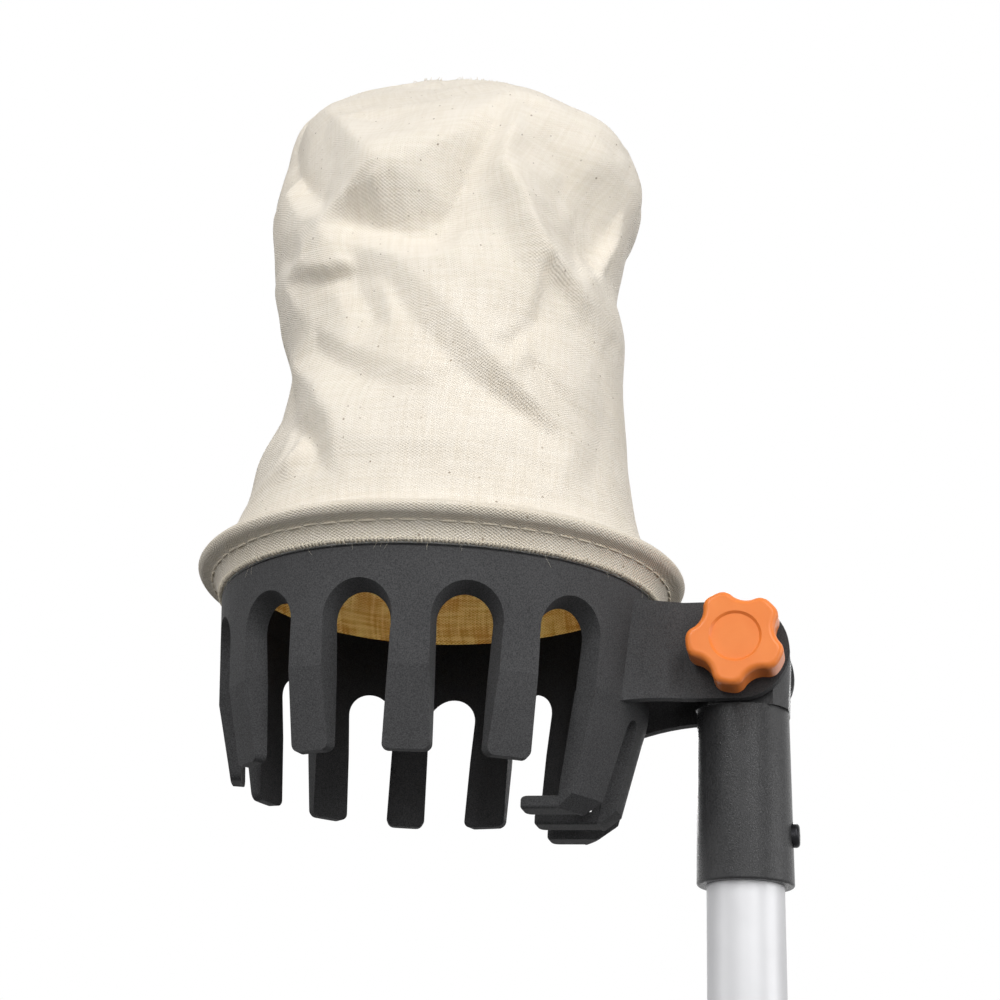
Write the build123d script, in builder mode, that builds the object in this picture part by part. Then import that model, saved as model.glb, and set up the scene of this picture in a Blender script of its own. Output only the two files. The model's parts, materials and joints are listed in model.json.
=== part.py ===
from build123d import *

import os
from math import asin, atan2, cos, degrees, exp, pi, radians, sin, sqrt, tan

# Fruit picker head on the top end of its pole, in millimetres.
# Z is the pole's axis, with the origin at the centre of the pole's lower end.
# The ring stands to -X of the pole and the clamping knob faces -Y.
# A drop is measured down, and a rise up, from the ring's edge, where the bag's hem begins.

# Pole and socket
POLE_DIAMETER = 25.0
POLE_WALL = 1.5
POLE_EXPOSED = 118.0
POLE_INSERTION = 52.0
POLE_CLEARANCE = 0.1
POLE_END_GAP = 1.0
POLE_EDGE_BREAK = 0.4
SOCKET_WALL = 3.1
SOCKET_BARREL = 57.0
SOCKET_DRAFT = 0.45
SOCKET_MOUTH_ROUND = 0.8

# Screw that holds the pole in the socket
SCREW_DIAMETER = 4.0
SCREW_HEAD_DIAMETER = 7.8
SCREW_HEAD_HEIGHT = 2.6
SCREW_HEAD_ROUND = 1.3
SCREW_TIP_INSET = 0.1
SCREW_TIP_CHAMFER = 1.0
SCREW_RISE = 16.5
SCREW_CLEARANCE = 0.05
SCREW_SEAT_DEPTH = 0.5
SCREW_RECESS_WIDTH = 0.9
SCREW_RECESS_LENGTH = 4.2
SCREW_RECESS_DEPTH = 1.2

# Tilt joint
KNUCKLE_WIDTH = 25.0
KNUCKLE_RADIUS = 16.2
KNUCKLE_BODY_RADIUS = 16.4
CHEEK_RADIUS = 16.6
CHEEK_WALL = 4.2
CHEEK_ROOT_WIDTH = 53.0
CHEEK_FLARE_START = 18.0
CHEEK_FLARE_RADIUS = 90.0
SHOULDER_GAP = 0.75
JOINT_GAP = 0.1
BOLT_DIAMETER = 6.0
BOLT_PROUD = 2.2
BOLT_CLEARANCE = 0.05
BOLT_HEAD_DIAMETER = 15.0
BOLT_HEAD_HEIGHT = 3.4
BOLT_HEAD_ROUND = 3.0
BOLT_NECK = 6.4
FRICTION_WASHER_DIAMETER = 21.0
FRICTION_WASHER_THICKNESS = 1.2

# Knob
KNOB_DIAMETER = 32.4
KNOB_LOBES = 5
KNOB_LOBE_ROUND = 4.0
KNOB_LOBE_ANGLE = 115.0
KNOB_VALLEY_DEPTH = 3.4
KNOB_VALLEY_RADIUS = 7.2
KNOB_THICKNESS = 10.5
KNOB_EDGE_ROUND = 2.2
KNOB_HUB_DIAMETER = 18.0
KNOB_HUB_HEIGHT = 2.0
KNOB_DISH_DIAMETER = 17.0
KNOB_DISH_DEPTH = 0.8
KNOB_WASHER_DIAMETER = 18.0
KNOB_WASHER_THICKNESS = 1.6
NUT_ACROSS_FLATS = 10.0
NUT_HEIGHT = 5.0
NUT_CLEARANCE = 0.05

# Comb ring: an oval mouth, round on the far side and drawn out to a nose at the clevis
ARM_LENGTH = 114.3
PIVOT_DROP = 20.3
RING_RADIUS = 70.5
RING_NOSE = 85.0
RING_SIDE_CENTRE = 30.0
WALL_AT_EDGE = 6.5
WALL_AT_BEND = 8.0
WALL_AT_TIP = 3.6
BEND_DROP = 38.0
BEND_INSET = 3.2
TINE_DROP = 63.5
TINE_LEAN = 14.5
TINE_TIP_ROUND = 2.6
RIM_RISE = 10.6
RIM_EDGE = 2.0
RIM_OUTSET = 7.0
NECK_DEPTH = 1.2
NECK_RISE = 0.8
NECK_HEIGHT = 5.6

# Slots between the tines
SLOT_PAIRS = 5
SLOT_FROM_NOSE = 52.0
SLOT_WIDTH = 25.0
SLOT_DROP = 9.9
SLOT_DRAFT = 19.5
SLOT_LEAD_IN = 3.0
SLOT_DEPTH = 26.0

# Hook tines under the clevis
HOOK_DROP = 75.4
HOOK_SPACING = 24.0
HOOK_WALL = 5.3
HOOK_CHAMFER = 5.5
HOOK_BAR_HEIGHT = 4.2
HOOK_BAR_WIDTH = 11.0
HOOK_REACH = 40.1
HOOK_BAR_ROUND = 1.2
HOOK_TIP_ROUND = 3.0
HOOK_HEEL = 3.0
SLIT_WIDTH = 8.0
SLIT_FOOT_WIDTH = 12.4
SLIT_DROP = 42.5

# Bag
CANVAS = 1.2
HEM_LAYER = 1.3
HEM_FLARE = 2.0
HEM_LIP = 0.8
HEM_TURN_IN = 4.2
HEM_CLEARANCE = 0.2
ELASTIC_WIDTH = 4.8
ELASTIC_THICKNESS = 0.8
# Sections of the bag above its foot: rise, share of the foot's length and of its width, and shift to the pole
BAG_SECTIONS = [
    (10.0, 0.903, 0.945, -1.6),
    (24.0, 0.848, 0.921, -1.3),
    (42.0, 0.818, 0.894, -1.6),
    (60.0, 0.772, 0.864, 1.0),
    (78.0, 0.750, 0.836, 1.3),
    (96.0, 0.784, 0.804, -1.1),
    (114.0, 0.791, 0.769, -4.9),
    (132.0, 0.822, 0.731, -5.1),
    (150.0, 0.870, 0.681, -4.0),
    (166.0, 0.877, 0.609, -3.3),
    (180.0, 0.829, 0.510, -5.3),
    (192.0, 0.745, 0.399, -11.6),
    (203.0, 0.665, 0.267, -15.8),
    (212.0, 0.555, 0.149, -18.4),
    (218.0, 0.407, 0.078, -18.2),
]
# Folds of the bag: turn from the pole's side, rise, height, half length, half width and lean from level
BAG_FOLDS = [
    (276, 203, -2, 32, 10, -25),
    (314, 201, 3.2, 31, 13, -20),
    (299, 197, 3.1, 39, 14, 30),
    (299, 197, 2.9, 33, 15, 50),
    (237, 192, 7.9, 59, 18, -50),
    (285, 184, 4.1, 60, 15, 40),
    (280, 175, 4, 59, 20, 40),
    (127, 173, 6.8, 41, 17, -90),
    (85, 167, 6.7, 60, 14, -55),
    (119, 157, -5.7, 59, 14, -55),
    (264, 157, 3.5, 55, 14, 40),
    (63, 153, -5.5, 60, 15, -50),
    (237, 152, 3.8, 59, 29, 60),
    (243, 138, -5.3, 55, 13, -40),
    (0, 128, 2.7, 54, 14, 40),
    (296, 127, 6.1, 60, 21, 85),
    (336, 127, -5.2, 23, 13, 50),
    (309, 120, 4.6, 40, 12, -45),
    (269, 119, -3.4, 30, 16, 50),
    (57, 101, 3.1, 41, 12, -45),
    (270, 94, 2, 28, 14, -15),
    (285, 53, -3.2, 36, 10, -40),
]
BAG_OUTLINE_POINTS = 24

# Worked-out places
POLE_RADIUS = POLE_DIAMETER / 2
SOCKET_BORE_RADIUS = POLE_RADIUS + POLE_CLEARANCE
SOCKET_MOUTH_RADIUS = SOCKET_BORE_RADIUS + SOCKET_WALL
SOCKET_TOP_RADIUS = SOCKET_MOUTH_RADIUS - SOCKET_BARREL * tan(radians(SOCKET_DRAFT))
SHOULDER_Z = POLE_EXPOSED + SOCKET_BARREL
PIVOT_Z = SHOULDER_Z + SHOULDER_GAP + CHEEK_RADIUS
RING_Z = PIVOT_Z + PIVOT_DROP
SCREW_Z = POLE_EXPOSED + SCREW_RISE
SCREW_SEAT = SOCKET_MOUTH_RADIUS - SCREW_RISE * tan(radians(SOCKET_DRAFT)) - SCREW_SEAT_DEPTH
SCREW_LENGTH = SCREW_SEAT - POLE_RADIUS + POLE_WALL - SCREW_TIP_INSET
BOLT_RADIUS = BOLT_DIAMETER / 2
CHEEK_INNER = KNUCKLE_WIDTH / 2 + JOINT_GAP + FRICTION_WASHER_THICKNESS
CHEEK_OUTER = CHEEK_INNER + CHEEK_WALL
KNOB_BACK = CHEEK_OUTER + KNOB_WASHER_THICKNESS + 2 * JOINT_GAP
KNOB_BODY = KNOB_BACK + KNOB_HUB_HEIGHT
BOLT_END = KNOB_BACK + NUT_HEIGHT + BOLT_PROUD
TINE_SLOPE = tan(radians(TINE_LEAN))
TIP_INSET = BEND_INSET + (TINE_DROP - BEND_DROP) * TINE_SLOPE
INNER_SLOPE = (TIP_INSET + WALL_AT_TIP - BEND_INSET - WALL_AT_BEND) / (TINE_DROP - BEND_DROP)
HOOK_TURN = HOOK_DROP - HOOK_BAR_HEIGHT
HOOK_INSET = BEND_INSET + (HOOK_TURN - BEND_DROP) * TINE_SLOPE
SLOT_SPREAD = SLOT_LEAD_IN * tan(radians(SLOT_DRAFT))
CUT_MARGIN = 2.0

# The oval is four tangent arcs: a half circle, two side arcs and the nose
NOSE_STEP = RING_RADIUS + RING_SIDE_CENTRE - RING_NOSE
NOSE_CENTRE = (RING_SIDE_CENTRE**2 - NOSE_STEP**2) / (2 * NOSE_STEP)
NOSE_RADIUS = RING_NOSE - NOSE_CENTRE
SIDE_RADIUS = RING_RADIUS + RING_SIDE_CENTRE
SIDE_TURN = degrees(atan2(NOSE_CENTRE, RING_SIDE_CENTRE))
ROUND_LENGTH = RING_RADIUS * pi / 2
SIDE_LENGTH = SIDE_RADIUS * radians(SIDE_TURN)
NOSE_LENGTH = NOSE_RADIUS * radians(90 - SIDE_TURN)
SLOT_PITCH = (ROUND_LENGTH + SIDE_LENGTH + NOSE_LENGTH - SLOT_FROM_NOSE) / SLOT_PAIRS

# Levels of the oval, as rise and outset: the ring's outside from hook feet to brim, then its inside
OUTSIDE = [
    (-HOOK_DROP, -HOOK_INSET - HOOK_CHAMFER),
    (-HOOK_TURN, -HOOK_INSET),
    (-BEND_DROP, -BEND_INSET),
    (0, 0),
    (NECK_RISE, -NECK_DEPTH),
    (NECK_RISE + NECK_HEIGHT, -NECK_DEPTH),
    (RIM_RISE - RIM_EDGE, RIM_OUTSET),
    (RIM_RISE, RIM_OUTSET),
]
INSIDE = [
    (-HOOK_DROP - CUT_MARGIN, -TIP_INSET - WALL_AT_TIP - (HOOK_DROP + CUT_MARGIN - TINE_DROP) * INNER_SLOPE),
    (-BEND_DROP, -BEND_INSET - WALL_AT_BEND),
    (0, -WALL_AT_EDGE),
    (RIM_RISE + CUT_MARGIN, -WALL_AT_EDGE),
]
HOOK_INSIDE = [
    (-HOOK_DROP - CUT_MARGIN, -HOOK_INSET - HOOK_WALL - (HOOK_BAR_HEIGHT + CUT_MARGIN) * TINE_SLOPE),
    (-HOOK_TURN, -HOOK_INSET - HOOK_WALL),
    (CUT_MARGIN - BEND_DROP, -BEND_INSET - WALL_AT_BEND),
]

# Levels of the hem: down the brim's edge and under it, then its inside
HEM_EDGE = HEM_CLEARANCE + HEM_LAYER
HEM_TOP = RIM_RISE + HEM_EDGE
HEM_OUTSIDE = [
    (0, HEM_EDGE),
    (NECK_RISE + NECK_HEIGHT - HEM_FLARE, HEM_EDGE + HEM_CLEARANCE),
    (RIM_RISE - RIM_EDGE - HEM_LAYER, RIM_OUTSET),
    (RIM_RISE - RIM_EDGE, RIM_OUTSET + HEM_EDGE + HEM_LIP),
    (RIM_RISE, RIM_OUTSET + HEM_EDGE + HEM_LIP),
    (HEM_TOP, RIM_OUTSET + HEM_LIP),
]
HEM_INSIDE = [
    (-CUT_MARGIN, HEM_CLEARANCE),
    (NECK_RISE + NECK_HEIGHT + HEM_CLEARANCE, HEM_CLEARANCE),
    (RIM_RISE - RIM_EDGE - HEM_CLEARANCE, RIM_OUTSET + HEM_CLEARANCE),
    (RIM_RISE + HEM_CLEARANCE, RIM_OUTSET + HEM_CLEARANCE),
]

os.makedirs("parts", exist_ok=True)


def oval(rise, outset):
    """Face of the ring's oval, offset outwards, at a rise above the ring's edge."""
    with BuildSketch(Plane(origin=(-ARM_LENGTH, 0, RING_Z + rise))) as face:
        with BuildLine():
            CenterArc((0, 0), RING_RADIUS + outset, 90, 180)
            CenterArc((0, RING_SIDE_CENTRE), SIDE_RADIUS + outset, 270, SIDE_TURN)
            CenterArc((NOSE_CENTRE, 0), NOSE_RADIUS + outset, SIDE_TURN - 90, 180 - 2 * SIDE_TURN)
            CenterArc((0, -RING_SIDE_CENTRE), SIDE_RADIUS + outset, 90 - SIDE_TURN, SIDE_TURN)
        make_face()
    return face.sketch


def oval_stack(levels):
    """Faces of the oval for a list of levels."""
    return [oval(rise, outset) for rise, outset in levels]


def nose_reach(outset, across):
    """Distance along the arm from the ring's axis to the oval's outline, at a distance across the arm."""
    if abs(across) <= (NOSE_RADIUS + outset) * cos(radians(SIDE_TURN)):
        return NOSE_CENTRE + sqrt((NOSE_RADIUS + outset) ** 2 - across**2)
    return sqrt((SIDE_RADIUS + outset) ** 2 - (abs(across) + RING_SIDE_CENTRE) ** 2)


def slot_plane(distance, side):
    """Plane facing out, just outside the oval, a distance along it from the point opposite the clevis."""
    if distance <= ROUND_LENGTH:
        centre = Vector(0, 0)
        radius = RING_RADIUS
        angle = pi - distance / radius
    elif distance <= ROUND_LENGTH + SIDE_LENGTH:
        centre = Vector(0, -RING_SIDE_CENTRE)
        radius = SIDE_RADIUS
        angle = pi / 2 - (distance - ROUND_LENGTH) / radius
    else:
        centre = Vector(NOSE_CENTRE, 0)
        radius = NOSE_RADIUS
        angle = pi / 2 - radians(SIDE_TURN) - (distance - ROUND_LENGTH - SIDE_LENGTH) / radius
    normal = Vector(cos(angle), side * sin(angle))
    along = centre.X + normal.X * (radius + SLOT_LEAD_IN) - ARM_LENGTH
    across = side * centre.Y + normal.Y * (radius + SLOT_LEAD_IN)
    return Plane(origin=(along, across, RING_Z), x_dir=(-normal.Y, normal.X, 0), z_dir=normal)


def arch(plane, middle, crown, half, foot, foot_half):
    """Face of a round-topped slot, from the half width at its shoulders to the half width at its foot."""
    with BuildSketch(plane) as face:
        with BuildLine():
            Polyline(
                (middle + half, crown - half),
                (middle + foot_half, foot),
                (middle - foot_half, foot),
                (middle - half, crown - half),
            )
            ThreePointArc((middle - half, crown - half), (middle, crown), (middle + half, crown - half))
        make_face()
    return face.sketch


def cheek(side):
    """One cheek of the clevis: a rounded plate that flares out and down towards the ring."""
    root = nose_reach(-BEND_INSET - WALL_AT_BEND / 2, CHEEK_ROOT_WIDTH / 2) - ARM_LENGTH
    with BuildPart() as plate:
        with BuildSketch(Plane.XZ):
            with BuildLine():
                bottom = Line((0, PIVOT_Z - CHEEK_RADIUS), (-CHEEK_FLARE_START, PIVOT_Z - CHEEK_RADIUS))
                turn = degrees(asin((-CHEEK_FLARE_START - root) / CHEEK_FLARE_RADIUS))
                flare = JernArc(bottom @ 1, (-1, 0), CHEEK_FLARE_RADIUS, turn)
                Polyline(flare @ 1, (root, PIVOT_Z + CHEEK_RADIUS), (0, PIVOT_Z + CHEEK_RADIUS))
                ThreePointArc(
                    (0, PIVOT_Z + CHEEK_RADIUS),
                    (CHEEK_RADIUS, PIVOT_Z),
                    (0, PIVOT_Z - CHEEK_RADIUS),
                )
            make_face()
        extrude(amount=CHEEK_ROOT_WIDTH, both=True)
        with BuildSketch(Plane.XY):
            with BuildLine():
                Polyline(
                    (CHEEK_RADIUS, side * CHEEK_INNER),
                    (CHEEK_RADIUS, side * CHEEK_OUTER),
                    (-CHEEK_FLARE_START, side * CHEEK_OUTER),
                    (root, side * CHEEK_ROOT_WIDTH / 2),
                    (root, side * (CHEEK_ROOT_WIDTH / 2 - CHEEK_WALL)),
                    (-CHEEK_FLARE_START, side * CHEEK_INNER),
                    close=True,
                )
            make_face()
        extrude(amount=RING_Z + RIM_RISE, mode=Mode.INTERSECT)
    return plate.part


def hook_bar(across):
    """Bar at the foot of one hook tine, pointing in across the mouth, cut to the ring's outside."""
    foot = RING_Z - HOOK_DROP
    top = RING_Z - HOOK_TURN
    tip = RING_NOSE - HOOK_REACH - ARM_LENGTH
    heel = nose_reach(-HOOK_INSET - HOOK_WALL, across) - ARM_LENGTH
    beyond = RING_NOSE - ARM_LENGTH
    with BuildPart() as bar:
        with BuildSketch(Plane.XZ.offset(-across)):
            with BuildLine():
                Polyline(
                    (tip, foot),
                    (tip, top),
                    (heel - HOOK_HEEL, top),
                    (heel, top + HOOK_HEEL),
                    (beyond, top + HOOK_HEEL),
                    (beyond, foot),
                    close=True,
                )
            make_face()
        extrude(amount=HOOK_BAR_WIDTH / 2, both=True)
        fillet(bar.edges().filter_by(Axis.Z).group_by(Axis.X)[0], HOOK_TIP_ROUND)
        fillet(bar.faces().sort_by(Axis.X)[0].edges().filter_by(Axis.Y), HOOK_BAR_ROUND)
        loft(oval_stack(OUTSIDE), ruled=True, mode=Mode.INTERSECT)
    return bar.part


def washer(label, outer_diameter, thickness, start):
    """Flat ring on the bolt, from a distance on the knob's side of the pole's axis."""
    with BuildPart() as ring:
        with BuildSketch(Plane.XZ.offset(start)):
            with Locations((0, PIVOT_Z)):
                Circle(outer_diameter / 2)
                Circle(BOLT_RADIUS + BOLT_CLEARANCE, mode=Mode.SUBTRACT)
        extrude(amount=thickness)
    ring.part.label = label
    export_step(ring.part, f"parts/{label}.step")


def fold_height(turn, rise, half_width):
    """How far the folds stand out at a place on the bag."""
    total = 0
    for fold_turn, fold_rise, height, half_long, half_wide, lean in BAG_FOLDS:
        round_bag = radians((turn - fold_turn + 180) % 360 - 180) * half_width
        up = rise - fold_rise
        along = round_bag * cos(radians(lean)) + up * sin(radians(lean))
        across = up * cos(radians(lean)) - round_bag * sin(radians(lean))
        total += height * exp(-((along / half_long) ** 2) - (across / half_wide) ** 2)
    return total


def bag_loft(inset):
    """Sections of the bag, from its foot on the hem to its closed end."""
    half_length = (RING_RADIUS + RING_NOSE) / 2 + RIM_OUTSET - HEM_LAYER
    half_width = RING_RADIUS + RIM_OUTSET - HEM_LAYER
    middle = (RING_NOSE - RING_RADIUS) / 2 - ARM_LENGTH
    end_rise = BAG_SECTIONS[-1][0] - inset
    faces = []
    for rise, length_share, width_share, shift in [(0, 1, 1, 0)] + BAG_SECTIONS:
        outline = []
        for step in range(BAG_OUTLINE_POINTS):
            turn = 360 * step / BAG_OUTLINE_POINTS
            reach = 1 + fold_height(turn, rise, half_width) / half_width if rise else 1
            x = (half_length * length_share - inset) * reach * cos(radians(turn))
            y = (half_width * width_share - inset) * reach * sin(radians(turn))
            outline.append((x, y))
        with BuildSketch(Plane(origin=(middle + shift, 0, RING_Z + HEM_TOP + min(rise, end_rise)))) as face:
            with BuildLine():
                Spline(outline, periodic=True)
            make_face()
        faces.append(face.sketch)
    return faces


# Pole: the top end of an aluminium tube
with BuildPart() as pole_tube:
    with BuildSketch():
        Circle(POLE_RADIUS)
        Circle(POLE_RADIUS - POLE_WALL, mode=Mode.SUBTRACT)
    extrude(amount=POLE_EXPOSED + POLE_INSERTION)
    rims = pole_tube.edges().filter_by(GeomType.CIRCLE)
    chamfer(rims.group_by(SortBy.RADIUS)[-1], POLE_EDGE_BREAK)
    with BuildSketch(Plane.YZ):
        with Locations((0, SCREW_Z)):
            Circle(SCREW_DIAMETER / 2 + SCREW_CLEARANCE)
    extrude(amount=POLE_DIAMETER, mode=Mode.SUBTRACT)
pole_tube.part.label = "pole_tube"
export_step(pole_tube.part, "parts/pole_tube.step")

# Knuckle of the socket: flat sides between the cheeks, a round top, and the barrel's roundness from above
with BuildPart() as knuckle:
    with BuildSketch(Plane.XZ):
        with BuildLine():
            Polyline(
                (-KNUCKLE_RADIUS, PIVOT_Z),
                (-SOCKET_TOP_RADIUS, SHOULDER_Z),
                (SOCKET_TOP_RADIUS, SHOULDER_Z),
                (KNUCKLE_RADIUS, PIVOT_Z),
            )
            ThreePointArc(
                (KNUCKLE_RADIUS, PIVOT_Z),
                (0, PIVOT_Z + KNUCKLE_RADIUS),
                (-KNUCKLE_RADIUS, PIVOT_Z),
            )
        make_face()
    extrude(amount=KNUCKLE_WIDTH / 2, both=True)
    with BuildSketch(Plane.XY.offset(SHOULDER_Z)):
        Circle(KNUCKLE_BODY_RADIUS)
    extrude(amount=PIVOT_Z + KNUCKLE_RADIUS - SHOULDER_Z + CUT_MARGIN, mode=Mode.INTERSECT)

# Socket: a drafted barrel with the knuckle on top
with BuildPart() as pole_socket:
    with BuildSketch(Plane.XY.offset(POLE_EXPOSED)):
        Circle(SOCKET_MOUTH_RADIUS)
    extrude(amount=SOCKET_BARREL, taper=SOCKET_DRAFT)
    fillet(pole_socket.edges().group_by(Axis.Z)[0], SOCKET_MOUTH_ROUND)
    add(knuckle.part)
    with BuildSketch(Plane.XY.offset(POLE_EXPOSED)):
        Circle(SOCKET_BORE_RADIUS)
    extrude(amount=POLE_INSERTION + POLE_END_GAP, mode=Mode.SUBTRACT)
    with BuildSketch(Plane.XZ):
        with Locations((0, PIVOT_Z)):
            Circle(BOLT_RADIUS + BOLT_CLEARANCE)
    extrude(amount=KNUCKLE_WIDTH, both=True, mode=Mode.SUBTRACT)
    with BuildSketch(Plane.YZ):
        with Locations((0, SCREW_Z)):
            Circle(SCREW_DIAMETER / 2 + SCREW_CLEARANCE)
    extrude(amount=POLE_DIAMETER, mode=Mode.SUBTRACT)
    with BuildSketch(Plane.YZ.offset(SCREW_SEAT)):
        with Locations((0, SCREW_Z)):
            Circle(SCREW_HEAD_DIAMETER / 2 + SCREW_SEAT_DEPTH)
    extrude(amount=SOCKET_WALL, mode=Mode.SUBTRACT)
pole_socket.part.label = "pole_socket"
export_step(pole_socket.part, "parts/pole_socket.step")

# Socket screw: pan head with a cross recess, its shank through the socket's and the pole's walls
with BuildPart() as socket_screw:
    with BuildSketch(Plane.YZ.offset(SCREW_SEAT)):
        with Locations((0, SCREW_Z)):
            Circle(SCREW_HEAD_DIAMETER / 2)
    extrude(amount=SCREW_HEAD_HEIGHT)
    fillet(socket_screw.edges().group_by(Axis.X)[-1], SCREW_HEAD_ROUND)
    with BuildSketch(Plane.YZ.offset(SCREW_SEAT - SCREW_LENGTH)):
        with Locations((0, SCREW_Z)):
            Circle(SCREW_DIAMETER / 2)
    extrude(amount=SCREW_LENGTH)
    chamfer(socket_screw.edges().group_by(Axis.X)[0], SCREW_TIP_CHAMFER)
    with BuildSketch(Plane.YZ.offset(SCREW_SEAT + SCREW_HEAD_HEIGHT - SCREW_RECESS_DEPTH)):
        with Locations((0, SCREW_Z)):
            Rectangle(SCREW_RECESS_LENGTH, SCREW_RECESS_WIDTH)
            Rectangle(SCREW_RECESS_WIDTH, SCREW_RECESS_LENGTH)
    extrude(amount=SCREW_HEAD_HEIGHT, mode=Mode.SUBTRACT)
socket_screw.part.label = "socket_screw"
export_step(socket_screw.part, "parts/socket_screw.step")

# Where the hook tines begin along the arm: the middle of the last slot, at the tips
last_slot = slot_plane(SLOT_PAIRS * SLOT_PITCH, 1)
hook_start = (last_slot.origin - last_slot.z_dir * (SLOT_LEAD_IN + TIP_INSET + WALL_AT_TIP / 2)).X

# Wall of the hook tines, thicker than the plain tines and still in one piece
with BuildPart() as hook_wall:
    loft(oval_stack(OUTSIDE), ruled=True)
    loft(oval_stack(HOOK_INSIDE), ruled=True, mode=Mode.SUBTRACT)
    with Locations((hook_start, 0, RING_Z - HOOK_DROP)):
        Box(
            RING_NOSE,
            2 * RING_RADIUS,
            HOOK_DROP - BEND_DROP,
            align=(Align.MIN, Align.CENTER, Align.MIN),
            mode=Mode.INTERSECT,
        )

# Picker head: comb ring, hooks and clevis in one moulding
with BuildPart() as picker_head:
    loft(oval_stack(OUTSIDE), ruled=True)
    add(cheek(-1))
    add(cheek(1))
    loft(oval_stack(INSIDE), ruled=True, mode=Mode.SUBTRACT)
    add(hook_wall.part)
    slot_foot = -HOOK_DROP - SLOT_DEPTH * tan(radians(SLOT_DRAFT)) - CUT_MARGIN
    for pair in range(SLOT_PAIRS + 1):
        for side in (-1, 1) if pair else (1,):
            opening = slot_plane(pair * SLOT_PITCH, side)
            half = SLOT_WIDTH / 2 + SLOT_SPREAD
            slot = arch(opening, 0, SLOT_SPREAD - SLOT_DROP, half, slot_foot, half)
            extrude(slot, amount=-SLOT_DEPTH, taper=SLOT_DRAFT, mode=Mode.SUBTRACT)
    for side in (-1, 1):
        opening = Plane.YZ.offset(hook_start)
        middle = side * HOOK_SPACING / 2
        foot = RING_Z - HOOK_DROP - CUT_MARGIN
        slit = arch(opening, middle, RING_Z - SLIT_DROP, SLIT_WIDTH / 2, foot, SLIT_FOOT_WIDTH / 2)
        extrude(slit, amount=RING_NOSE, mode=Mode.SUBTRACT)
    with Locations((hook_start, 0, RING_Z - TINE_DROP)):
        Box(
            2 * RING_NOSE,
            4 * RING_RADIUS,
            HOOK_DROP,
            align=(Align.MAX, Align.CENTER, Align.MAX),
            mode=Mode.SUBTRACT,
        )
    tip_z = RING_Z - TINE_DROP
    tip_faces = picker_head.faces().filter_by_position(Axis.Z, tip_z, tip_z)
    fillet(tip_faces.edges().filter_by(GeomType.CIRCLE, reverse=True), TINE_TIP_ROUND)
    for across in (-HOOK_SPACING, 0, HOOK_SPACING):
        add(hook_bar(across))
    with BuildSketch(Plane.XZ):
        with Locations((0, PIVOT_Z)):
            Circle(BOLT_RADIUS + BOLT_CLEARANCE)
    extrude(amount=CHEEK_ROOT_WIDTH, mode=Mode.SUBTRACT)
    with BuildSketch(Plane.XZ):
        with Locations((0, PIVOT_Z)):
            Rectangle(BOLT_NECK + 2 * BOLT_CLEARANCE, BOLT_NECK + 2 * BOLT_CLEARANCE)
    extrude(amount=-CHEEK_ROOT_WIDTH, mode=Mode.SUBTRACT)
picker_head.part.label = "picker_head"
export_step(picker_head.part, "parts/picker_head.step")

# Pivot bolt: round head and square neck in the far cheek, plain shank to the knob
with BuildPart() as pivot_bolt:
    with BuildSketch(Plane.XZ.offset(-CHEEK_OUTER)):
        with Locations((0, PIVOT_Z)):
            Circle(BOLT_HEAD_DIAMETER / 2)
    extrude(amount=-BOLT_HEAD_HEIGHT)
    fillet(pivot_bolt.edges().group_by(Axis.Y)[-1], BOLT_HEAD_ROUND)
    with BuildSketch(Plane.XZ.offset(-CHEEK_OUTER)):
        with Locations((0, PIVOT_Z)):
            Rectangle(BOLT_NECK, BOLT_NECK)
    extrude(amount=CHEEK_WALL)
    with BuildSketch(Plane.XZ.offset(-CHEEK_OUTER)):
        with Locations((0, PIVOT_Z)):
            Circle(BOLT_RADIUS)
    extrude(amount=CHEEK_OUTER + BOLT_END)
pivot_bolt.part.label = "pivot_bolt"
export_step(pivot_bolt.part, "parts/pivot_bolt.step")

# Friction washers on the cheeks' inner faces, and the washer under the knob
washer("friction_washer_far", FRICTION_WASHER_DIAMETER, FRICTION_WASHER_THICKNESS, -CHEEK_INNER)
washer(
    "friction_washer_near",
    FRICTION_WASHER_DIAMETER,
    FRICTION_WASHER_THICKNESS,
    CHEEK_INNER - FRICTION_WASHER_THICKNESS,
)
washer("knob_washer", KNOB_WASHER_DIAMETER, KNOB_WASHER_THICKNESS, CHEEK_OUTER + JOINT_GAP)

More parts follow.
